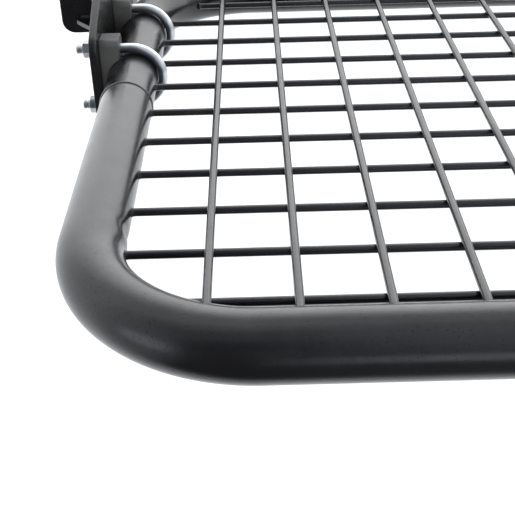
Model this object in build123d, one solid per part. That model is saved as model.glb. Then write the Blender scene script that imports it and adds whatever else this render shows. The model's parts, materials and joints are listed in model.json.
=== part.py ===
"""Pickup headache rack: a closed hoop of bent round tube filled with welded square mesh,
standing on two foot brackets that are clamped to the side tubes with U-bolts.

Row frame, millimetres: +X across the truck, +Y towards the cab, +Z up. The origin is the centre
of the footprint, on the plane where the rubber pads meet the bed rails.
"""
from build123d import *
import os

# ---- driving dimensions ------------------------------------------------------------------
# Hoop tube, 1 5/8 in by 14 gauge, bent on a 4 in centre-line radius
TUBE_OD = 41.3
TUBE_WALL = 2.1
BEND_R = 101.6

# Welded mesh, 2 in square, of 5.5 mm round rod
PITCH = 50.8
ROD_D = 5.5
COLUMNS = 28
ROWS = 11
SIDE_MARGIN = 72.1      # side tube axis to the nearest vertical rod's axis
RAIL_MARGIN = 39.4      # rail axis to the nearest horizontal rod's axis
ROD_GAP = 0.02          # crossing rods touch without sharing volume

# Where the hoop stands over the bed rails
BOTTOM_RAIL_Z = 70.0
HOOP_Y = 45.0
SEAM_Z = 350.0          # the hoop's two halves are butt-welded here, over a sleeve

# Splice sleeve and weld
SLEEVE_LENGTH = 90.0
SLEEVE_WALL = 2.0
SLEEVE_CLEARANCE = 0.1
GROOVE_DEPTH = 1.5
GROOVE_HALF_WIDTH = 1.8
BEAD_CROWN = 0.9

# Two light posts behind the mesh stiffen it at its thirds
POST_OD = 15.9
POST_WALL = 1.5
POST_X = 5 * PITCH
VENT_D = 8.0
VENT_X = 610.0

# Foot brackets: 6 mm plate, bent to an L whose flange turns outboard over the bed rail
PLATE = 6.0
FLANGE_WIDTH = 86.0
FOOT_DEPTH = 210.0
PAD_THICKNESS = 3.0
PAD_INSET = 3.0
BEND_INNER_R = 4.0
WEB_TOP_HALF = 38.0
WEB_SHOULDER_Z = 62.0
WEB_TOP_MARGIN = 26.0
CORNER_R = 14.0
LIGHTENING_R = 19.0
LIGHTENING_Z = 112.0
SLOT_WIDTH = 11.0
SLOT_LENGTH = 34.0
SLOT_SPACING = 110.0
GUSSET = 5.0
GUSSET_REACH = 62.0
GUSSET_HEIGHT = 76.0
GUSSET_TOE = 8.0
GUSSET_Y = 90.0

# U-bolt clamps, M8, two to a foot, each in the gap between two horizontal rods
BOLT_D = 8.0
CLAMP_CLEARANCE = 0.1
CLAMP_GAPS = (1, 3)     # which mesh gaps the U-bolts sit in, counted up from the lowest rod
SADDLE_BACK = 4.5       # saddle thickness between the tube and the web
SADDLE_START = 9.0      # how far out from the tube axis the saddle's horns begin
SADDLE_WIDTH = 70.0
SADDLE_HEIGHT = 24.0
SADDLE_EDGE_R = 5.0
LEG_HOLE_D = 9.0
WASHER_OD = 16.0
WASHER_BORE = 8.4
WASHER_THICKNESS = 1.6
NUT_FLATS = 13.0
NUT_TURNED_D = 14.6
NUT_CHAMFER = 0.6
NUT_HEIGHT = 6.8
NUT_BORE = 8.1
BOLT_TIP_CHAMFER = 1.0
THREAD_STICK_OUT = 6.0

# ---- derived sizes -----------------------------------------------------------------------
TUBE_R = TUBE_OD / 2
ROD_R = ROD_D / 2
HOOP_X = SIDE_MARGIN + (COLUMNS - 1) * PITCH / 2
TOP_RAIL_Z = BOTTOM_RAIL_Z + 2 * RAIL_MARGIN + (ROWS - 1) * PITCH
LOWEST_ROD_Z = BOTTOM_RAIL_Z + RAIL_MARGIN
UPRIGHT_ROD_Y = HOOP_Y - ROD_D - ROD_GAP
POST_Y = HOOP_Y + ROD_R + ROD_GAP + POST_OD / 2
WEB_X = HOOP_X + TUBE_R + CLAMP_CLEARANCE + SADDLE_BACK
WEB_OUTER_X = WEB_X + PLATE
FLANGE_END_X = WEB_X + FLANGE_WIDTH
FLANGE_TOP_Z = PAD_THICKNESS + PLATE
SLOT_X = (WEB_OUTER_X + FLANGE_END_X) / 2
LEG_Y = TUBE_R + CLAMP_CLEARANCE + BOLT_D / 2
CLAMP_Z = [LOWEST_ROD_Z + (gap + 0.5) * PITCH for gap in CLAMP_GAPS]
WEB_TOP_Z = CLAMP_Z[-1] + WEB_TOP_MARGIN
NUT_X = WEB_OUTER_X + WASHER_THICKNESS


def tube_along(path, outer_r, inner_r=0.0):
    """A round bar, or a tube where inner_r is given, swept along a path."""
    start = Plane(origin=path @ 0, z_dir=path % 0)
    bar = sweep(start * Circle(outer_r), path=path)
    if inner_r:
        bar -= sweep(start * Circle(inner_r), path=path)
    return bar


def round_bar(start, direction, length, radius):
    """A cylinder that begins at a point and runs along a direction."""
    return extrude(Plane(origin=start, z_dir=direction) * Circle(radius), amount=length)


def hoop_half_path(rail_z):
    """The centre line of one half of the hoop: a rail, its two bends and its two legs."""
    return FilletPolyline(
        (-HOOP_X, HOOP_Y, SEAM_Z),
        (-HOOP_X, HOOP_Y, rail_z),
        (HOOP_X, HOOP_Y, rail_z),
        (HOOP_X, HOOP_Y, SEAM_Z),
        radius=BEND_R,
    )


def ring_round_seam(side, outline):
    """Turns a closed outline of (distance from the tube axis, height above the seam) round one side tube."""
    seam = (side * HOOP_X, HOOP_Y, SEAM_Z)
    section = Plane(origin=seam, x_dir=(1, 0, 0), z_dir=(0, -1, 0)) * make_face(outline)
    return revolve(section, axis=Axis(seam, (0, 0, 1)))


def seam_groove(side):
    """The V cut round the butting ends of both halves, run out past the tube's surface."""
    overrun = 0.5
    mouth = GROOVE_HALF_WIDTH * (1 + overrun / GROOVE_DEPTH)
    outer = TUBE_R + overrun
    outline = Polyline((TUBE_R - GROOVE_DEPTH, 0), (outer, mouth), (outer, -mouth), close=True)
    return ring_round_seam(side, outline)


def seam_weld(side):
    """The weld metal that fills the groove, with a low crown."""
    top, bottom = (TUBE_R, GROOVE_HALF_WIDTH), (TUBE_R, -GROOVE_HALF_WIDTH)
    flanks = Polyline(bottom, (TUBE_R - GROOVE_DEPTH, 0), top)
    crown = ThreePointArc(top, (TUBE_R + BEAD_CROWN, 0), bottom)
    return ring_round_seam(side, flanks + crown)


def vents():
    """Drain holes through the underside of the bottom rail."""
    return [
        round_bar((x, HOOP_Y, BOTTOM_RAIL_Z), (0, 0, -1), TUBE_OD, VENT_D / 2)
        for x in (-VENT_X, VENT_X)
    ]


def hoop_half(rail_z, cuts):
    half = tube_along(hoop_half_path(rail_z), TUBE_R, TUBE_R - TUBE_WALL)
    for cut in cuts:
        half -= cut
    return half


def splice_sleeve(side):
    """The inner tube that backs the seam weld on one side."""
    outer = TUBE_R - TUBE_WALL - SLEEVE_CLEARANCE
    start = (side * HOOP_X, HOOP_Y, SEAM_Z - SLEEVE_LENGTH / 2)
    sleeve = round_bar(start, (0, 0, 1), SLEEVE_LENGTH, outer)
    return sleeve - round_bar(start, (0, 0, 1), SLEEVE_LENGTH, outer - SLEEVE_WALL)


def hoop_envelope():
    """The hoop's two halves without their bores, to cope what is welded to it."""
    return [tube_along(hoop_half_path(z), TUBE_R) for z in (BOTTOM_RAIL_Z, TOP_RAIL_Z)]


def coped(bar, envelope):
    for solid in envelope:
        bar -= solid
    return max(bar.solids(), key=lambda piece: piece.volume)


def vertical_rods(envelope):
    span = TOP_RAIL_Z - BOTTOM_RAIL_Z
    first = -(COLUMNS - 1) * PITCH / 2
    starts = [(first + i * PITCH, UPRIGHT_ROD_Y, BOTTOM_RAIL_Z) for i in range(COLUMNS)]
    return [coped(round_bar(start, (0, 0, 1), span, ROD_R), envelope) for start in starts]


def horizontal_rods(envelope):
    starts = [(-HOOP_X, HOOP_Y, LOWEST_ROD_Z + j * PITCH) for j in range(ROWS)]
    return [coped(round_bar(start, (1, 0, 0), 2 * HOOP_X, ROD_R), envelope) for start in starts]


def mesh_post(side, envelope):
    """One light tube behind the mesh, coped to both rails."""
    start = (side * POST_X, POST_Y, BOTTOM_RAIL_Z)
    span = TOP_RAIL_Z - BOTTOM_RAIL_Z
    post = round_bar(start, (0, 0, 1), span, POST_OD / 2)
    for solid in envelope:
        post -= solid
    post -= round_bar(start, (0, 0, 1), span, POST_OD / 2 - POST_WALL)
    return max(post.solids(), key=lambda piece: piece.volume)


# ---- right foot; the left one is its mirror image ----------------------------------------
def flange_slots():
    """Cutters for the two bed-rail slots, which run fore and aft through flange and pad."""
    slot = SlotOverall(SLOT_LENGTH, SLOT_WIDTH, rotation=90)
    return [
        extrude(Pos(SLOT_X, y) * slot, amount=2 * FLANGE_TOP_Z, both=True)
        for y in (-SLOT_SPACING / 2, SLOT_SPACING / 2)
    ]


def clamp_points():
    """(y, z) of the four U-bolt legs where they cross the web."""
    return [(HOOP_Y + side * LEG_Y, z) for z in CLAMP_Z for side in (-1, 1)]


def bent_plate():
    """The bracket's plate before its outline is trimmed: an L, fore and aft along the foot."""
    section = Plane.XZ * Polyline(
        (WEB_X, WEB_TOP_Z),
        (WEB_X, PAD_THICKNESS),
        (FLANGE_END_X, PAD_THICKNESS),
        (FLANGE_END_X, FLANGE_TOP_Z),
        (WEB_OUTER_X, FLANGE_TOP_Z),
        (WEB_OUTER_X, WEB_TOP_Z),
        close=True,
    )
    plate = extrude(make_face(section), amount=FOOT_DEPTH / 2, both=True)
    heel = plate.edges().filter_by(Axis.Y).sort_by_distance((WEB_X, 0, PAD_THICKNESS))[0]
    plate = fillet(heel, BEND_INNER_R + PLATE)
    throat = plate.edges().filter_by(Axis.Y).sort_by_distance((WEB_OUTER_X, 0, FLANGE_TOP_Z))[0]
    return fillet(throat, BEND_INNER_R)


def web_outline():
    """The bracket seen from the side: wide at the flange, narrow at the U-bolts."""
    half = FOOT_DEPTH / 2
    below = -2 * CORNER_R
    outline = FilletPolyline(
        (-half, below),
        (half, below),
        (half, WEB_SHOULDER_Z),
        (HOOP_Y + WEB_TOP_HALF, WEB_TOP_Z),
        (HOOP_Y - WEB_TOP_HALF, WEB_TOP_Z),
        (-half, WEB_SHOULDER_Z),
        radius=CORNER_R,
        close=True,
    )
    return extrude(Plane.YZ * make_face(outline), amount=FLANGE_END_X)


def flange_outline():
    """The bracket seen from above, with the flange's outboard corners rounded."""
    outline = Pos(WEB_X, 0) * RectangleRounded(2 * FLANGE_WIDTH, FOOT_DEPTH, CORNER_R)
    return extrude(outline, amount=WEB_TOP_Z)


def foot_bracket():
    """The bent plate: a web beside the side tube and a flange over the bed rail."""
    bracket = bent_plate() & web_outline() & flange_outline()
    drill_start = WEB_X - PLATE
    for y, z in clamp_points():
        bracket -= round_bar((drill_start, y, z), (1, 0, 0), 3 * PLATE, LEG_HOLE_D / 2)
    bracket -= round_bar((drill_start, HOOP_Y / 2, LIGHTENING_Z), (1, 0, 0), 3 * PLATE, LIGHTENING_R)
    for slot in flange_slots():
        bracket -= slot
    return bracket


def rail_pad():
    """The rubber pad between the flange and the bed rail."""
    width = FLANGE_WIDTH - BEND_INNER_R - PLATE
    centre_x = FLANGE_END_X - width / 2
    outline = Pos(centre_x, 0) * RectangleRounded(
        width - PAD_INSET, FOOT_DEPTH - PAD_INSET, CORNER_R - PAD_INSET
    )
    pad = extrude(outline, amount=PAD_THICKNESS)
    for slot in flange_slots():
        pad -= slot
    return pad


def foot_gusset(side):
    """A triangular stiffener in the outboard corner of the bracket."""
    inner_clip = BEND_INNER_R + 2
    outline = Polyline(
        (WEB_OUTER_X + inner_clip, FLANGE_TOP_Z),
        (WEB_OUTER_X + GUSSET_REACH, FLANGE_TOP_Z),
        (WEB_OUTER_X + GUSSET_REACH, FLANGE_TOP_Z + GUSSET_TOE),
        (WEB_OUTER_X + GUSSET_TOE, FLANGE_TOP_Z + GUSSET_HEIGHT),
        (WEB_OUTER_X, FLANGE_TOP_Z + GUSSET_HEIGHT),
        (WEB_OUTER_X, FLANGE_TOP_Z + inner_clip),
        close=True,
    )
    plane = Plane.XZ.offset(-side * GUSSET_Y)
    return extrude(plane * make_face(outline), amount=GUSSET / 2, both=True)


def u_bolt(z):
    """One U-bolt: round the inboard side of the tube, its legs out through the web."""
    tip_x = NUT_X + NUT_HEIGHT + THREAD_STICK_OUT
    near_y, far_y = HOOP_Y - LEG_Y, HOOP_Y + LEG_Y
    path = Wire(
        [
            Line((tip_x, near_y, z), (HOOP_X, near_y, z)),
            ThreePointArc((HOOP_X, near_y, z), (HOOP_X - LEG_Y, HOOP_Y, z), (HOOP_X, far_y, z)),
            Line((HOOP_X, far_y, z), (tip_x, far_y, z)),
        ]
    )
    bolt = tube_along(path, BOLT_D / 2)
    tips = bolt.faces().filter_by(Axis.X).edges()
    return chamfer(tips, BOLT_TIP_CHAMFER)


def saddle(z):
    """The moulded block that beds one U-bolt's stretch of tube against the web."""
    length = WEB_X - HOOP_X - SADDLE_START
    centre_x = WEB_X - length / 2
    block = Pos(centre_x, HOOP_Y, z) * Box(length, SADDLE_WIDTH, SADDLE_HEIGHT)
    block = fillet(block.edges().filter_by(Axis.X), SADDLE_EDGE_R)
    below = (HOOP_X, HOOP_Y, z - SADDLE_HEIGHT)
    block -= round_bar(below, (0, 0, 1), 2 * SADDLE_HEIGHT, TUBE_R + CLAMP_CLEARANCE)
    for side in (-1, 1):
        leg_start = (HOOP_X, HOOP_Y + side * LEG_Y, z)
        block -= round_bar(leg_start, (1, 0, 0), 2 * SADDLE_WIDTH, LEG_HOLE_D / 2)
    return block


def washer(y, z):
    start = (WEB_OUTER_X, y, z)
    disc = round_bar(start, (1, 0, 0), WASHER_THICKNESS, WASHER_OD / 2)
    return disc - round_bar(start, (1, 0, 0), WASHER_THICKNESS, WASHER_BORE / 2)


def nut(y, z):
    """A hex nut whose corners are turned off at both faces."""
    start = (NUT_X, y, z)
    hexagon = RegularPolygon(NUT_FLATS / 2, 6, major_radius=False)
    body = extrude(Plane(origin=start, z_dir=(1, 0, 0)) * hexagon, amount=NUT_HEIGHT)
    blank = round_bar(start, (1, 0, 0), NUT_HEIGHT, NUT_TURNED_D / 2)
    body &= chamfer(blank.edges().filter_by(GeomType.CIRCLE), NUT_CHAMFER)
    return body - round_bar(start, (1, 0, 0), NUT_HEIGHT, NUT_BORE / 2)


def right_foot():
    return {
        "foot_bracket": [foot_bracket()],
        "foot_gussets": [foot_gusset(-1), foot_gusset(1)],
        "rail_pad": [rail_pad()],
        "lower_u_bolt": [u_bolt(CLAMP_Z[0])],
        "upper_u_bolt": [u_bolt(CLAMP_Z[1])],
        "lower_saddle": [saddle(CLAMP_Z[0])],
        "upper_saddle": [saddle(CLAMP_Z[1])],
        "clamp_washers": [washer(y, z) for y, z in clamp_points()],
        "clamp_nuts": [nut(y, z) for y, z in clamp_points()],
    }


def all_nodes():
    envelope = hoop_envelope()
    grooves = [seam_groove(side) for side in (-1, 1)]
    nodes = {
        "upper_hoop": [hoop_half(TOP_RAIL_Z, grooves)],
        "lower_hoop": [hoop_half(BOTTOM_RAIL_Z, grooves + vents())],
        "mesh_vertical_rods": vertical_rods(envelope),
        "mesh_horizontal_rods": horizontal_rods(envelope),
    }
    for side, word in ((-1, "left"), (1, "right")):
        nodes[f"{word}_mesh_post"] = [mesh_post(side, envelope)]
        nodes[f"{word}_splice_sleeve"] = [splice_sleeve(side)]
        nodes[f"{word}_seam_weld"] = [seam_weld(side)]
    for name, solids in right_foot().items():
        nodes[f"right_{name}"] = solids
        nodes[f"left_{name}"] = [mirror(solid, about=Plane.YZ) for solid in solids]
    return nodes


def main():
    os.makedirs("parts", exist_ok=True)
    for name, shapes in all_nodes().items():
        solids = [solid for shape in shapes for solid in shape.solids()]
        export_step(Compound(solids), f"parts/{name}.step")


main()
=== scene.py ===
"""The looks of the headache rack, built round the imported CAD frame. All lengths are in metres."""
import json
import math
import random

import bmesh
import bpy
from mathutils import Matrix, Vector


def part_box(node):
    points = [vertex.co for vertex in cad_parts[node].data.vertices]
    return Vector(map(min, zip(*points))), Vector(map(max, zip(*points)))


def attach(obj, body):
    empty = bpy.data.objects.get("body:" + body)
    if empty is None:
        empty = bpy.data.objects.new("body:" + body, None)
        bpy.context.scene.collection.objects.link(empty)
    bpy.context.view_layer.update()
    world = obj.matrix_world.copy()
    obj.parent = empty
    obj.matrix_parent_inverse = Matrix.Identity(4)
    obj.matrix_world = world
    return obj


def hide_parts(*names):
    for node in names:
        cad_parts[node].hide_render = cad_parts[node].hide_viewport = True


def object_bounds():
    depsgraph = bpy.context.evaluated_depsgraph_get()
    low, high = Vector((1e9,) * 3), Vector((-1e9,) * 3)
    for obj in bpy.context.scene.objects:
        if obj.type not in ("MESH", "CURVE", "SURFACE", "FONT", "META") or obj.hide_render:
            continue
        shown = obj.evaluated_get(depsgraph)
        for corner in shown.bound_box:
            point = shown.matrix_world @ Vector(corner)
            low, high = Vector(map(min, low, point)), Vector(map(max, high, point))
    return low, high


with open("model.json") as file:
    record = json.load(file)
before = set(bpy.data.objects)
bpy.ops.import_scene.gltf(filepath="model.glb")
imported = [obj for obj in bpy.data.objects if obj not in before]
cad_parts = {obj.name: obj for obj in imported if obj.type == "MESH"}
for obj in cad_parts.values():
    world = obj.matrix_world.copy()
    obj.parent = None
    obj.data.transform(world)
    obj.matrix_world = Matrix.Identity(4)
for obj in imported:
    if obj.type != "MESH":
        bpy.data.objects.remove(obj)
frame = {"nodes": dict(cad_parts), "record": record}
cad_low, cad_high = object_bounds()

# ---- places taken from the frame -----------------------------------------------------------
MM = 0.001
BEND_R = 101.6 * MM             # centre-line radius of the hoop's bends
ROD_R = 2.75 * MM
PITCH = 50.8 * MM

upper_low, upper_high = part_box("upper_hoop")
lower_low, lower_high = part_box("lower_hoop")
upright_low, upright_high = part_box("mesh_vertical_rods")
cross_low, cross_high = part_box("mesh_horizontal_rods")

TUBE_R = (upper_high.y - upper_low.y) / 2
HOOP_X = upper_high.x - TUBE_R
HOOP_Y = (upper_high.y + upper_low.y) / 2
TOP_Z = upper_high.z - TUBE_R
BOTTOM_Z = lower_low.z + TUBE_R
SEAM_Z = lower_high.z
UPRIGHT_Y = (upright_low.y + upright_high.y) / 2
CROSS_Y = (cross_low.y + cross_high.y) / 2
COLUMNS = 1 + round((upright_high.x - upright_low.x - 2 * ROD_R) / PITCH)
ROWS = 1 + round((cross_high.z - cross_low.z - 2 * ROD_R) / PITCH)
COLUMN_X = [upright_low.x + ROD_R + i * PITCH for i in range(COLUMNS)]
ROW_Z = [cross_low.z + ROD_R + j * PITCH for j in range(ROWS)]
FOOT_TRAVEL = 14.0 * MM         # how far down a foot slides from rest
FLOOR_Z = cad_low.z - FOOT_TRAVEL - 0.5 * MM    # just clear of the feet at their lowest

SIDES = (("left", -1), ("right", 1))
VENT_X = 610.0 * MM             # the drain holes in the lower rail
VENT_R = 4.0 * MM
WALL = 2.1 * MM
BOLT_R = 4.0 * MM
GUSSET = 5.0 * MM               # thickness of a gusset
post_low, post_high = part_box("right_mesh_post")
POST_R = (post_high.x - post_low.x) / 2
POST_X = (post_high.x + post_low.x) / 2
POST_Y = (post_high.y + post_low.y) / 2
bead_low, bead_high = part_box("right_seam_weld")
BEAD_CROWN = (bead_high.y - bead_low.y) / 2 - TUBE_R
BEAD_HALF = (bead_high.z - bead_low.z) / 2
gusset_low, gusset_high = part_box("right_foot_gussets")


# ---- node helpers --------------------------------------------------------------------------
class Nodes:
    """A node tree, with short calls that add nodes and return their output sockets."""

    def __init__(self, tree):
        self.tree = tree
        tree.nodes.clear()

    def add(self, kind, **settings):
        node = self.tree.nodes.new(kind)
        for key, value in settings.items():
            setattr(node, key, value)
        return node

    def link(self, source, target):
        """Joins a socket to an input, or sets the input where source is a plain value."""
        if isinstance(source, bpy.types.NodeSocket):
            self.tree.links.new(source, target)
        else:
            target.default_value = source

    def maths(self, operation, first, second=0.0):
        node = self.add("ShaderNodeMath", operation=operation)
        self.link(first, node.inputs[0])
        self.link(second, node.inputs[1])
        return node.outputs["Value"]

    def spread(self, source, low, high, from_low=0.0, from_high=1.0, smooth=False):
        """Maps one range of values to another and holds it at the ends."""
        node = self.add("ShaderNodeMapRange")
        node.interpolation_type = "SMOOTHSTEP" if smooth else "LINEAR"
        self.link(source, node.inputs["Value"])
        ends = {"From Min": from_low, "From Max": from_high, "To Min": low, "To Max": high}
        for name, value in ends.items():
            node.inputs[name].default_value = value
        return node.outputs["Result"]

    def step(self, source, start, end):
        """A smooth step that is 0 before start and 1 after end, in either direction."""
        if start < end:
            return self.spread(source, 0.0, 1.0, start, end, smooth=True)
        return self.spread(source, 1.0, 0.0, end, start, smooth=True)

    def mix(self, share, first, second):
        """The first value where share is 0 and the second where it is 1."""
        gap = self.maths("SUBTRACT", second, first)
        return self.maths("ADD", first, self.maths("MULTIPLY", share, gap))

    def ramp(self, source, stops):
        node = self.add("ShaderNodeValToRGB")
        elements = node.color_ramp.elements
        while len(elements) < len(stops):
            elements.new(0.5)
        for element, (place, colour) in zip(elements, stops):
            element.position = place
            element.color = (*colour, 1.0)
        self.link(source, node.inputs["Fac"])
        return node.outputs["Color"]

    def levels(self, source, stops):
        return self.ramp(source, [(place, (level, level, level)) for place, level in stops])


class Shader(Nodes):
    """A material built on one Principled node and the piece's own coordinates."""

    def __init__(self, name):
        self.material = bpy.data.materials.new(name)
        self.material.use_nodes = True
        super().__init__(self.material.node_tree)
        output = self.add("ShaderNodeOutputMaterial")
        self.principled = self.add("ShaderNodeBsdfPrincipled")
        self.link(self.principled.outputs["BSDF"], output.inputs["Surface"])
        self.place = self.add("ShaderNodeTexCoord").outputs["Object"]

    def set(self, **inputs):
        """Sets or joins the Principled node's inputs; an underscore stands for a space."""
        for name, value in inputs.items():
            self.link(value, self.principled.inputs[name.replace("_", " ")])

    def noise(self, scale, detail=2.0, roughness=0.5):
        node = self.add("ShaderNodeTexNoise")
        node.inputs["Scale"].default_value = scale
        node.inputs["Detail"].default_value = detail
        node.inputs["Roughness"].default_value = roughness
        self.link(self.place, node.inputs["Vector"])
        return node.outputs["Fac"]

    def specks(self, scale, size, share):
        """1 in small round specks, one to a cell of 1 / scale metres, in this share of the cells."""
        node = self.add("ShaderNodeTexVoronoi")
        node.inputs["Scale"].default_value = scale
        self.link(self.place, node.inputs["Vector"])
        cell = self.add("ShaderNodeSeparateColor")
        self.link(node.outputs["Color"], cell.inputs["Color"])
        chosen = self.maths("LESS_THAN", cell.outputs["Red"], share)
        return self.maths("MULTIPLY", self.step(node.outputs["Distance"], size, 0.4 * size), chosen)

    def bump(self, height, distance, strength=1.0, under=None):
        node = self.add("ShaderNodeBump")
        node.inputs["Distance"].default_value = distance
        node.inputs["Strength"].default_value = strength
        self.link(height, node.inputs["Height"])
        if under:
            self.link(under, node.inputs["Normal"])
        return node.outputs["Normal"]


def grey(level, blue=0.0):
    return (level, level, level + blue)


def powder_coat():
    """Satin black powder coat: orange peel, a low ripple, dull pinholes and a clouded gloss."""
    s = Shader("powder_coat")
    dark, light = grey(0.0034, 0.0002), grey(0.0050, 0.0004)
    tone = s.ramp(s.noise(9.0, detail=3.0), [(0.35, dark), (0.65, light)])
    gloss = s.spread(s.noise(60.0, detail=4.0), 0.20, 0.27, 0.3, 0.7)
    peel = s.bump(s.noise(700.0, detail=1.0), 0.00006, 0.5)
    ripple = s.bump(s.noise(160.0, detail=1.0), 0.0002, 0.25, under=peel)
    pinholes = s.specks(420.0, 0.19, 0.9)
    clouds = s.spread(s.noise(45.0, detail=5.0, roughness=0.6), 0.45, 0.54, 0.3, 0.7)
    shine = s.maths("MULTIPLY", clouds, s.spread(pinholes, 1.0, 0.2))
    s.set(Base_Color=tone, Roughness=gloss, IOR=1.52, Specular_IOR_Level=shine, Normal=ripple)
    return s.material


def zinc_plate():
    """Bright zinc on rolled steel, clouded between a faint blue and a faint straw."""
    s = Shader("zinc_plate")
    cloud = s.noise(120.0, detail=4.0)
    blue, clear, straw = (0.50, 0.52, 0.56), (0.66, 0.67, 0.68), (0.70, 0.68, 0.62)
    tone = s.ramp(cloud, [(0.3, blue), (0.55, clear), (0.75, straw)])
    gloss = s.spread(s.noise(400.0, detail=3.0), 0.22, 0.42)
    grain = s.bump(s.noise(1500.0), 0.00004, 0.4)
    s.set(Base_Color=tone, Metallic=1.0, Roughness=gloss, Normal=grain)
    return s.material


def moulded_nylon():
    """Black nylon with a fine spark-eroded texture."""
    s = Shader("moulded_nylon")
    tone = s.ramp(s.noise(50.0, detail=3.0), [(0.3, grey(0.020)), (0.7, grey(0.028))])
    gloss = s.spread(s.noise(300.0), 0.42, 0.55)
    grain = s.bump(s.noise(2200.0), 0.00006, 0.6)
    s.set(Base_Color=tone, Roughness=gloss, Normal=grain)
    return s.material


def rubber_sheet():
    """Black rubber, dull and slightly dusty, with a fine cloth mark from its moulding."""
    s = Shader("rubber_sheet")
    dust = s.noise(70.0, detail=5.0)
    tone = s.ramp(dust, [(0.4, grey(0.018)), (0.75, grey(0.040))])
    grain = s.bump(s.noise(1800.0, detail=3.0), 0.00008, 0.7)
    s.set(Base_Color=tone, Roughness=s.spread(dust, 0.65, 0.85), Normal=grain)
    return s.material


def drawn_steel():
    """Bare drawn tube, for the sleeves inside the hoop."""
    s = Shader("drawn_steel")
    tone = s.ramp(s.noise(90.0, detail=4.0), [(0.3, grey(0.38)), (0.7, grey(0.50))])
    s.set(Base_Color=tone, Metallic=1.0, Roughness=s.spread(s.noise(500.0), 0.3, 0.45))
    return s.material


def pale_floor():
    """A matt off-white floor, very slightly uneven."""
    s = Shader("pale_floor")
    tone = s.ramp(s.noise(1.2), [(0.3, grey(0.80)), (0.7, grey(0.82))])
    s.set(Base_Color=tone, Roughness=0.9, Specular_IOR_Level=0.1)
    return s.material


# ---- mesh helpers --------------------------------------------------------------------------
SHARP_EDGE = math.radians(48)


def smooth_shading(mesh):
    mesh.polygons.foreach_set("use_smooth", [True] * len(mesh.polygons))
    mesh.set_sharp_from_angle(angle=SHARP_EDGE)
    mesh.update()


def new_piece(name, shapes, material, body, replaces=()):
    """A visible piece made of a Mesh, riding on a body; it may stand in for CAD nodes."""
    mesh = bpy.data.meshes.new(name)
    mesh.from_pydata([tuple(v) for v in shapes.vertices], [], shapes.faces)
    editable = bmesh.new()
    editable.from_mesh(mesh)
    bmesh.ops.recalc_face_normals(editable, faces=editable.faces)
    editable.to_mesh(mesh)
    editable.free()
    mesh.materials.append(material)
    smooth_shading(mesh)
    piece = bpy.data.objects.new(name, mesh)
    bpy.context.scene.collection.objects.link(piece)
    if replaces:
        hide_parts(*replaces)
    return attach(piece, body)


class Mesh:
    """Vertices and faces gathered from several shapes."""

    def __init__(self):
        self.vertices = []
        self.faces = []

    def add_rings(self, rings, joined=False):
        """Joins rings of equally many points into a closed skin, its ends capped or joined."""
        base = len(self.vertices)
        count = len(rings[0])
        for points in rings:
            self.vertices.extend(points)
        for i in range(len(rings) if joined else len(rings) - 1):
            for j in range(count):
                k = (j + 1) % count
                a, b = base + i * count, base + (i + 1) % len(rings) * count
                self.faces.append((a + j, a + k, b + k, b + j))
        if not joined:
            self.faces.append(tuple(base + j for j in reversed(range(count))))
            last = base + (len(rings) - 1) * count
            self.faces.append(tuple(last + j for j in range(count)))


def ring(centre, across, up, radii):
    """Points round a centre, one for each radius, in the plane of two unit vectors."""
    count = len(radii)
    points = []
    for j, radius in enumerate(radii):
        turn = 2 * math.pi * j / count
        points.append(centre + across * (radius * math.cos(turn)) + up * (radius * math.sin(turn)))
    return points


def oval(centre, wide, tall, count):
    """Points round a centre on the ellipse of two half-axes."""
    turns = [2 * math.pi * j / count for j in range(count)]
    return [centre + wide * math.cos(t) + tall * math.sin(t) for t in turns]


# ---- the hoop ------------------------------------------------------------------------------
AROUND = 96                     # points round the tube
STEP = 3.0 * MM                 # between stations round a bend
BEND_LENGTH = math.pi / 2 * BEND_R


def hoop_stations(rail_z, towards):
    """Stations down one leg, round a bend, along the rail, round the other bend and back.

    Each is (centre, direction towards the tube's inner side, way past the bend's start on the leg).
    towards is +1 for the upper half and -1 for the lower.
    """
    tangent_z = rail_z - towards * BEND_R
    tangent_x = HOOP_X - BEND_R
    leg = []
    steps = max(2, round(abs(tangent_z - SEAM_Z) / (2 * STEP)))
    for i in range(steps):
        z = SEAM_Z + (tangent_z - SEAM_Z) * i / steps
        leg.append((Vector((-HOOP_X, HOOP_Y, z)), Vector((1, 0, 0)), -abs(tangent_z - z)))
    bend = []
    steps = round(BEND_LENGTH / STEP)
    for i in range(steps):
        turn = math.pi / 2 * i / steps
        inward = Vector((math.cos(turn), 0, -towards * math.sin(turn)))
        centre = Vector((-tangent_x, HOOP_Y, tangent_z)) - inward * BEND_R
        bend.append((centre, inward, turn * BEND_R))
    half_rail = []
    rail_inward = Vector((0, 0, -towards))
    steps = round(tangent_x / (4 * STEP))
    for i in range(steps):
        x = -tangent_x + tangent_x * i / steps
        half_rail.append((Vector((x, HOOP_Y, rail_z)), rail_inward, BEND_LENGTH + x + tangent_x))
    left = leg + bend + half_rail
    middle = (Vector((0, HOOP_Y, rail_z)), rail_inward, BEND_LENGTH + tangent_x)
    right = [(Vector((-c.x, c.y, c.z)), Vector((-n.x, n.y, n.z)), s) for c, n, s in reversed(left)]
    return left + [middle] + right


def bell(x, width):
    return math.exp(-0.5 * (x / width) ** 2)


def tube_radii(along):
    """The tube's radius at each angle from its inner side, at a way past the bend's start on the leg.

    The bender leaves a small pinch in the inner wall just before each bend starts, a low swelling
    where it starts, and a weaker pinch where it ends.
    """
    pinch = 1.7 * MM * bell(along + 13 * MM, 3.0 * MM)
    swelling = 0.8 * MM * bell(along - 1 * MM, 6 * MM)
    exit_pinch = 0.35 * MM * bell(along - BEND_LENGTH, 8 * MM)
    radii = []
    for j in range(AROUND):
        turn = 2 * math.pi * j / AROUND
        inner_side = max(0.0, math.cos(turn)) ** 3
        radii.append(TUBE_R + inner_side * (swelling - pinch - exit_pinch))
    return radii


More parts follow.
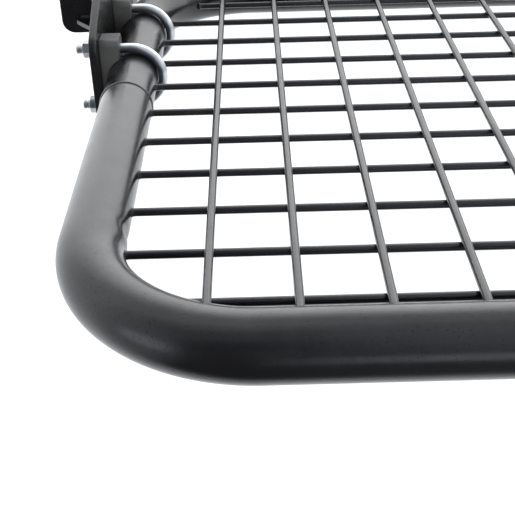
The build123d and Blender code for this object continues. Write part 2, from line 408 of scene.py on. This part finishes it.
def hoop_half(name, rail_z, towards, material):
    """One half of the hoop with its bore, from seam to seam."""
    depth = Vector((0, 1, 0))
    outside, inside = [], []
    for centre, inward, along in hoop_stations(rail_z, towards):
        radii = tube_radii(along)
        outside.append(ring(centre, inward, depth, radii))
        inside.append(ring(centre, inward, depth, [r - WALL for r in radii]))
    mesh = Mesh()
    mesh.add_rings(outside + inside[::-1], joined=True)
    return new_piece(name + "_tube", mesh, material, "rack", [name])


def drill(piece, places, radius, depth):
    """Cuts round upright holes through a piece, each centred on a place."""
    cutters = []
    for place in places:
        bpy.ops.mesh.primitive_cylinder_add(vertices=48, radius=radius, depth=depth, location=place)
        cutters.append(bpy.context.object)
        cut = piece.modifiers.new("hole", "BOOLEAN")
        cut.object = cutters[-1]
        cut.solver = "EXACT"
    drilled = bpy.data.meshes.new_from_object(piece.evaluated_get(bpy.context.evaluated_depsgraph_get()))
    smooth_shading(drilled)
    piece.modifiers.clear()
    piece.data = drilled
    for cutter in cutters:
        bpy.data.objects.remove(cutter)


# ---- welds ---------------------------------------------------------------------------------
RIPPLE_PITCH = 1.6 * MM
POST_FILLET = 2.4 * MM
GUSSET_FILLET = 3.2 * MM
GUSSET_WELD_START = 9 * MM      # from the corner between web and flange
GUSSET_WELD_UP = 60 * MM
GUSSET_WELD_OUT = 58 * MM


def ripple(travelled, across, pitch):
    """0 to 1: the crescents that a weld puddle leaves as it moves on."""
    return 0.5 + 0.5 * math.cos(2 * math.pi * (travelled / pitch + 0.45 * across))


def fillet_bead(mesh, corners, along_faces, leg, seed, closed=False):
    """A rippled fillet weld along a line of corner points.

    along_faces gives, for each corner, two unit vectors that lead away from it along the two faces.
    """
    rng = random.Random(seed)
    travelled = 0.0
    sections = []
    last = len(corners) - 1
    facets = 8
    for i, corner in enumerate(corners):
        if i:
            travelled += (corner - corners[i - 1]).length
        first, second = along_faces[i]
        start_stop = 1.0 if closed else min(1.0, 0.5 + 0.25 * min(i, last - i))
        size = leg * start_stop * rng.uniform(0.985, 1.015)
        section = [corner - (first + second) * (0.15 * leg)]
        for k in range(facets + 1):
            turn = math.pi / 2 * k / facets
            middle = math.sin(2 * turn)
            grown = size * (1.0 + 0.10 * middle * ripple(travelled, middle, RIPPLE_PITCH))
            to_first = 0.55 * math.cos(turn) + 0.45 * (1 - k / facets)
            to_second = 0.55 * math.sin(turn) + 0.45 * k / facets
            section.append(corner + first * (grown * to_first) + second * (grown * to_second))
        sections.append(section)
    mesh.add_rings(sections, joined=closed)


def line_of_points(start, end, step):
    """Evenly spaced points from start to end, at most a step apart."""
    count = math.ceil((end - start).length / step)
    return [start.lerp(end, i / count) for i in range(count + 1)]


def seam_beads(material):
    """The ring of weld round each side tube where the hoop's halves meet."""
    ripples, per_ripple = 74, 6
    root = 0.6 * MM
    for word, side in SIDES:
        rng = random.Random(21 + side)
        seam = Vector((side * HOOP_X, HOOP_Y, SEAM_Z))
        sections = []
        for i in range(ripples * per_ripple):
            turn = 2 * math.pi * i / (ripples * per_ripple)
            out = Vector((math.cos(turn), math.sin(turn), 0))
            width = BEAD_HALF * rng.uniform(0.96, 1.0)
            section = []
            for k in range(11):
                across = k / 5 - 1
                mound = 1 - across * across
                wave = ripple(i / per_ripple, mound, 1.0)
                crown = BEAD_CROWN * mound * (0.80 + 0.18 * wave)
                section.append(seam + out * (TUBE_R + crown) + Vector((0, 0, width * across)))
            for across in (0.7, -0.7):
                section.append(seam + out * (TUBE_R - root) + Vector((0, 0, BEAD_HALF * across)))
            sections.append(section)
        mesh = Mesh()
        mesh.add_rings(sections, joined=True)
        name = word + "_seam_weld"
        new_piece(name + "_bead", mesh, material, "rack", [name])


def post_welds(material):
    """The welds that hold the two posts: a fillet round each end, and tacks on the cross rods."""
    mesh = Mesh()
    around = 180
    tack_half = (4.2 * MM, 2.0 * MM, 3.3 * MM)
    for word, side in SIDES:
        for rail_z, away in ((TOP_Z, -1), (BOTTOM_Z, 1)):
            corners, along_faces = [], []
            for i in range(around):
                turn = 2 * math.pi * i / around
                out = Vector((math.cos(turn), math.sin(turn), 0))
                spot = Vector((side * POST_X, POST_Y, 0)) + out * POST_R
                spot.z = rail_z + away * math.sqrt(TUBE_R**2 - (spot.y - HOOP_Y) ** 2)
                normal = Vector((0, spot.y - HOOP_Y, spot.z - rail_z)) / TUBE_R
                corners.append(spot)
                on_tube = (out - normal * out.dot(normal)).normalized()
                along_faces.append((Vector((0, 0, away)), on_tube))
            fillet_bead(mesh, corners, along_faces, POST_FILLET, 31 + side + away, closed=True)
        for z in ROW_Z:
            touch = Vector((side * POST_X, POST_Y - POST_R, z))
            mesh.add_rings(nugget(touch, *tack_half, 16))
    new_piece("mesh_post_welds", mesh, material, "rack")


def gusset_welds(material):
    """Fillets on both sides of each gusset, down the web and out along the flange."""
    for word, side in SIDES:
        mesh = Mesh()
        out, up = Vector((side, 0, 0)), Vector((0, 0, 1))
        for end in (-1, 1):
            centre_y = end * (gusset_high.y - GUSSET / 2)
            for face in (-1, 1):
                across = Vector((0, face, 0))
                corner = Vector((side * gusset_low.x, centre_y + face * GUSSET / 2, gusset_low.z))
                runs = ((up, GUSSET_WELD_UP, out), (out, GUSSET_WELD_OUT, up))
                for run, (way, stop, other) in enumerate(runs):
                    begin, finish = corner + way * GUSSET_WELD_START, corner + way * stop
                    points = line_of_points(begin, finish, RIPPLE_PITCH / 4)
                    faces = [(other, across)] * len(points)
                    fillet_bead(mesh, points, faces, GUSSET_FILLET, 50 + 10 * end + 3 * face + run)
        new_piece(word + "_gusset_welds", mesh, material, word + "_foot")


# ---- the mesh ------------------------------------------------------------------------------
ROD_SINK = 0.8 * MM             # how deep a rod's end lies in the tube's wall
# the way in from a rod's end and the rise over its radius there, both in millimetres
END_FLARE = ((0.0, 0.9), (0.8, 0.6), (1.2, 0.34), (1.7, 0.15), (2.3, 0.05), (3.0, 0.0))
NUGGET_RINGS = 7


def rod_stations(start, end):
    """Places along a rod and its radius there: its ends flare into small welds on the tube."""
    along = (end - start).normalized()
    stations = [(start + along * d * MM, ROD_R + rise * MM) for d, rise in END_FLARE]
    stations.append((start.lerp(end, 0.5), ROD_R))
    stations += [(end - along * d * MM, ROD_R + rise * MM) for d, rise in reversed(END_FLARE)]
    return [(start, 0.4 * ROD_R), *stations, (end, 0.4 * ROD_R)]


def straight_rods(name, ends, material):
    """Round rods between pairs of points, one after another."""
    mesh = Mesh()
    depth = Vector((0, 1, 0))
    for start, end in ends:
        across = (end - start).normalized().cross(depth)
        rings = [ring(c, across, depth, [r] * 24) for c, r in rod_stations(start, end)]
        mesh.add_rings(rings)
    new_piece(name + "_bars", mesh, material, "rack", [name])


def reach(offset, tube):
    """How far from the hoop's centre line, at this offset from a corner, the tube's inner side lies."""
    if offset >= BEND_R:
        return tube
    return BEND_R - math.sqrt((BEND_R - tube) ** 2 - (BEND_R - offset) ** 2)


def build_mesh(material):
    """The rods of the welded mesh, each ending just inside the tube's wall."""
    uprights = []
    tube = math.sqrt(TUBE_R**2 - (UPRIGHT_Y - HOOP_Y) ** 2)
    for x in COLUMN_X:
        edge = reach(HOOP_X - abs(x), tube) - ROD_SINK
        uprights.append((Vector((x, UPRIGHT_Y, BOTTOM_Z + edge)), Vector((x, UPRIGHT_Y, TOP_Z - edge))))
    crosses = []
    for z in ROW_Z:
        edge = reach(min(TOP_Z - z, z - BOTTOM_Z), TUBE_R) - ROD_SINK
        crosses.append((Vector((edge - HOOP_X, CROSS_Y, z)), Vector((HOOP_X - edge, CROSS_Y, z))))
    straight_rods("mesh_vertical_rods", uprights, material)
    straight_rods("mesh_horizontal_rods", crosses, material)
    build_crossing_welds(material)


def nugget(centre, wide, deep, tall, around):
    """Rings for a small squashed ball of weld, round the y axis."""
    rings = []
    for i in range(NUGGET_RINGS):
        turn = math.pi * (i + 0.5) / NUGGET_RINGS - math.pi / 2
        k = math.cos(turn)
        middle = centre + Vector((0, deep * math.sin(turn), 0))
        rings.append(oval(middle, Vector((wide * k, 0, 0)), Vector((0, 0, tall * k)), around))
    return rings


def build_crossing_welds(material):
    """The small flat nugget that each resistance weld squeezes out between two crossing rods."""
    mesh = Mesh()
    rng = random.Random(7)
    deep = 1.25 * MM
    middle_y = (UPRIGHT_Y + CROSS_Y) / 2
    for x in COLUMN_X:
        for z in ROW_Z:
            wide, tall = (rng.uniform(2.1, 2.5) * MM for _ in range(2))
            mesh.add_rings(nugget(Vector((x, middle_y, z)), wide, deep, tall, 12))
    new_piece("mesh_crossing_welds", mesh, material, "rack")


# ---- the feet ------------------------------------------------------------------------------
THREAD_PITCH = 1.25 * MM
THREAD_DEPTH = 0.65 * MM
THREAD_LENGTH = 30 * MM
TIP_CHAMFER = 1.0 * MM


def threaded_radii(from_tip, hand, around):
    """The bolt's radius round one section of its thread, at a distance from its chamfered tip.

    The groove is a trapezoid that runs out where the thread ends.
    """
    tip = BOLT_R - max(0.0, TIP_CHAMFER - from_tip)
    run_out = min(1.0, max(0.0, (THREAD_LENGTH - from_tip) / (2 * THREAD_PITCH)))
    radii = []
    for j in range(around):
        phase = (from_tip / THREAD_PITCH + hand * j / around) % 1.0
        groove = min(1.0, max(0.0, 1.25 - 2.5 * abs(phase - 0.5)))
        radii.append(min(tip, BOLT_R - THREAD_DEPTH * run_out * groove))
    return radii


def u_bolt(name, side, body, material):
    """A bent rod round the side tube, with rolled threads on both of its legs."""
    low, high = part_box(name)
    z = (low.z + high.z) / 2
    leg_y = (high.y - low.y) / 2 - BOLT_R
    leg = max(abs(low.x), abs(high.x)) - HOOP_X
    around = 32
    step = THREAD_PITCH / 10
    up = Vector((0, 0, 1))
    distances = [i * step for i in range(round(THREAD_LENGTH / step) + 1)]
    distances += [THREAD_LENGTH + (leg - THREAD_LENGTH) * k / 3 for k in (1, 2)]
    legs = []
    for end in (-1, 1):
        out = Vector((0, end, 0))
        rings = []
        for d in distances:
            centre = Vector((side * (HOOP_X + leg - d), HOOP_Y + end * leg_y, z))
            rings.append(ring(centre, out, up, threaded_radii(d, side * end, around)))
        legs.append(rings)
    bend = []
    bend_steps = 48
    for i in range(bend_steps + 1):
        turn = math.pi * i / bend_steps
        out = Vector((-side * math.sin(turn), -math.cos(turn), 0))
        bend.append(ring(Vector((side * HOOP_X, HOOP_Y, z)) + out * leg_y, out, up, [BOLT_R] * around))
    mesh = Mesh()
    mesh.add_rings(legs[0] + bend + legs[1][::-1])
    new_piece(name + "_rod", mesh, material, body, [name])


def soften(node, width):
    """Rounds a CAD node's sharp edges."""
    piece = frame["nodes"][node]
    weld = piece.modifiers.new("weld", "WELD")
    weld.merge_threshold = 0.01 * MM
    flat = piece.modifiers.new("flat_faces", "DECIMATE")
    flat.decimate_type = "DISSOLVE"
    flat.angle_limit = math.radians(0.5)
    bevel = piece.modifiers.new("edges", "BEVEL")
    bevel.width = width
    bevel.segments = 2
    bevel.limit_method = "ANGLE"
    bevel.angle_limit = math.radians(40)
    bevel.use_clamp_overlap = False
    bevel.harden_normals = True


def finish_feet(zinc):
    """Threaded U-bolts, and the rounding of each other part's edges in millimetres."""
    edges = {
        "foot_bracket": 0.6,
        "foot_gussets": 0.5,
        "rail_pad": 0.7,
        "lower_saddle": 0.8,
        "upper_saddle": 0.8,
        "clamp_washers": 0.25,
        "clamp_nuts": 0.3,
    }
    for word, side in SIDES:
        for which in ("lower", "upper"):
            u_bolt(f"{word}_{which}_u_bolt", side, word + "_foot", zinc)
        for part, width in edges.items():
            soften(f"{word}_{part}", width * MM)


# ---- studio --------------------------------------------------------------------------------
def build_floor(material):
    """A plain floor that reaches far past the rack."""
    squares = {"x_subdivisions": 8, "y_subdivisions": 8}
    bpy.ops.mesh.primitive_grid_add(size=14.0, location=(0, 0, FLOOR_Z), **squares)
    floor = bpy.context.object
    floor.name = "floor"
    floor.data.materials.append(material)


def add_light(name, kind, place, target, **settings):
    """A light that shows in no reflection: what the coat mirrors is the floor and the world."""
    data = bpy.data.lights.new(name, kind)
    for key, value in settings.items():
        setattr(data, key, value)
    light = bpy.data.objects.new(name, data)
    light.location = place
    light.rotation_euler = (Vector(target) - Vector(place)).to_track_quat("-Z", "Y").to_euler()
    light.visible_glossy = False
    bpy.context.scene.collection.objects.link(light)


def build_lights():
    """An even light from above for the whole floor, and a softer pool on the floor before the rack."""
    add_light("ceiling", "SUN", (0, 0, 5), (0, 0.5, 0), energy=3.4, angle=math.radians(100))
    pool = {"shape": "RECTANGLE", "size": 1.8, "size_y": 0.25, "spread": math.radians(42)}
    x, y, height = 0.2, -0.32, 1.9
    add_light("front_pool", "AREA", (x, y, height), (x, y, 0), energy=11.5, **pool)


def build_world():
    """A pale studio that the coat mirrors.

    Behind the rack it is dark above the horizon. In front it is bright, with a dimmer bay in the
    middle. Both ends are pale and have a soft box each. To the left are a strip light overhead and a
    faint glow behind.
    """
    pale_ends, strip_light, glow, soft_box = 0.75, 1.4, 0.14, 1.2
    strip_y = 0.18
    box_core, box_edge = math.radians(8), math.radians(18)

    world = bpy.data.worlds.new("studio")
    world.use_nodes = True
    n = Nodes(world.node_tree)
    way = n.add("ShaderNodeSeparateXYZ")
    direction = n.add("ShaderNodeTexCoord").outputs["Generated"]
    n.link(direction, way.inputs["Vector"])
    x, y, z = (way.outputs[axis] for axis in "XYZ")
    to_front = n.step(y, 0.15, -0.15)

    rear = n.levels(z, [(0.0, 1.0), (0.12, 0.92), (0.28, 0.10), (0.45, 0.01)])
    lit_front = n.levels(z, [(0.0, 1.0), (0.15, 0.92), (0.50, 0.80), (0.80, 0.65), (0.97, 0.30)])
    dim_front = n.levels(z, [(0.0, 1.0), (0.12, 0.75), (0.30, 0.42), (0.55, 0.36), (0.75, 0.03)])
    dim = n.maths("MULTIPLY", n.step(x, -0.15, -0.07), n.step(x, 0.78, 0.52))
    front = n.mix(dim, lit_front, dim_front)
    sky = n.mix(to_front, rear, front)

    ends = n.maths("MULTIPLY", n.step(n.maths("ABSOLUTE", x), 0.50, 0.85), pale_ends)
    sky = n.maths("MAXIMUM", sky, ends)

    from_strip = n.maths("ABSOLUTE", n.maths("SUBTRACT", y, strip_y))
    strip = n.maths("MULTIPLY", n.step(from_strip, 0.24, 0.10), n.step(x, -0.02, -0.16))
    strip = n.maths("MULTIPLY", strip, n.step(z, 0.3, 0.6))
    sky = n.maths("ADD", sky, n.maths("MULTIPLY", strip, strip_light))
    left_half = n.maths("MULTIPLY", n.step(x, -0.10, -0.20), n.step(z, 0.1, 0.3))
    sky = n.maths("ADD", sky, n.maths("MULTIPLY", left_half, glow))

    for side in (-1, 1):
        toward = n.add("ShaderNodeVectorMath", operation="DOT_PRODUCT")
        n.link(direction, toward.inputs[0])
        toward.inputs[1].default_value = Vector((side * 0.87, 0.0, 0.50)).normalized()
        box = n.step(toward.outputs["Value"], math.cos(box_edge), math.cos(box_core))
        sky = n.maths("ADD", sky, n.maths("MULTIPLY", box, soft_box))

    tint = n.ramp(z, [(0.0, (1.0, 1.0, 1.0)), (0.5, (0.88, 0.96, 1.08))])
    background = n.add("ShaderNodeBackground")
    n.link(tint, background.inputs["Color"])
    n.link(sky, background.inputs["Strength"])
    output = n.add("ShaderNodeOutputWorld")
    n.link(background.outputs["Background"], output.inputs["Surface"])
    bpy.context.scene.world = world


def build_camera():
    """Stands over the right end of the top rail and looks steeply down the mesh, upside down."""
    in_from_side = 101.0 * MM
    above_rail = 386.9 * MM
    before_mesh = 307.8 * MM
    tilt, turn, roll = 0.5789, -0.001, -0.0272      # radians; tilt is from straight down
    data = bpy.data.cameras.new("camera")
    data.sensor_width = 36.0
    data.lens = 66.27
    data.clip_start = 0.01
    data.clip_end = 50.0
    camera = bpy.data.objects.new("camera", data)
    camera.location = (HOOP_X - in_from_side, HOOP_Y - before_mesh, TOP_Z + above_rail)
    down = math.cos(tilt)
    forward = Vector((-math.sin(turn) * down, math.sin(tilt), -math.cos(turn) * down))
    level = Vector((-math.cos(turn), 0, math.sin(turn)))
    rise = level.cross(forward)
    right = level * math.cos(roll) + rise * math.sin(roll)
    up = rise * math.cos(roll) - level * math.sin(roll)
    camera.rotation_euler = Matrix((right, up, -forward)).transposed().to_euler()
    bpy.context.scene.collection.objects.link(camera)
    bpy.context.scene.camera = camera


# ---- the whole scene -----------------------------------------------------------------------
coat = powder_coat()
zinc = zinc_plate()
finishes = {
    "powder_coat": coat,
    "zinc_steel": zinc,
    "saddle_nylon": moulded_nylon(),
    "pad_rubber": rubber_sheet(),
    "bare_steel": drawn_steel(),
}
slot_of = {part["node"]: part["material_slot"] for part in frame["record"]["subparts"]}
for node, piece in frame["nodes"].items():
    piece.data.materials.clear()
    piece.data.materials.append(finishes[slot_of[node]])

hoop_half("upper_hoop", TOP_Z, 1, coat)
lower_tube = hoop_half("lower_hoop", BOTTOM_Z, -1, coat)
vents = [Vector((x, HOOP_Y, BOTTOM_Z - TUBE_R)) for x in (-VENT_X, VENT_X)]
drill(lower_tube, vents, VENT_R, 5 * WALL)
seam_beads(coat)
build_mesh(coat)
post_welds(coat)
gusset_welds(coat)
finish_feet(zinc)
build_floor(pale_floor())
build_world()
build_camera()
build_lights()
bpy.context.scene.view_settings.view_transform = "Standard"
